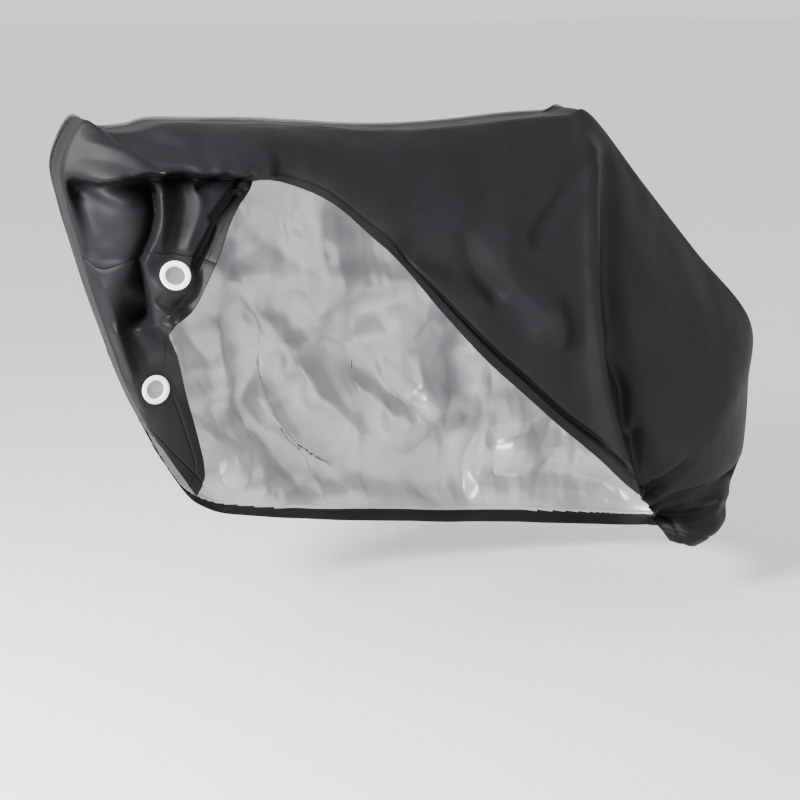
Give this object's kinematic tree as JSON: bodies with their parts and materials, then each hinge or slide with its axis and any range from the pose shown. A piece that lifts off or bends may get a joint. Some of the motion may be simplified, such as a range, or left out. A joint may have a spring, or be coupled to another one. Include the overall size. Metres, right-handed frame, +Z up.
{
  "type": "bicycle cover",
  "caption": "Hollow fitted bicycle cover of coated cloth, its near hem lifted and bunched at the front, hung from its top.",
  "frame": {"origin": "under the middle of the top strip, where the bicycle carries the cover", "axes": "+X towards the rear wheel, -Y the near side whose hem is lifted, +Z up"},
  "size_m": [1.8199, 0.6569, 1.2062],
  "materials": {
    "coated_cloth": "black coated cloth with a silver-coated back",
    "white_plastic": "white moulded plastic, satin"
  },
  "bodies": {
    "root": {"near_panel": "coated_cloth", "near_front_panel": "coated_cloth", "far_panel": "coated_cloth", "gusset": "coated_cloth", "eyelet_upper": "white_plastic", "eyelet_upper_washer": "white_plastic", "eyelet_lower": "white_plastic", "eyelet_lower_washer": "white_plastic"}
  },
  "joints": []
}
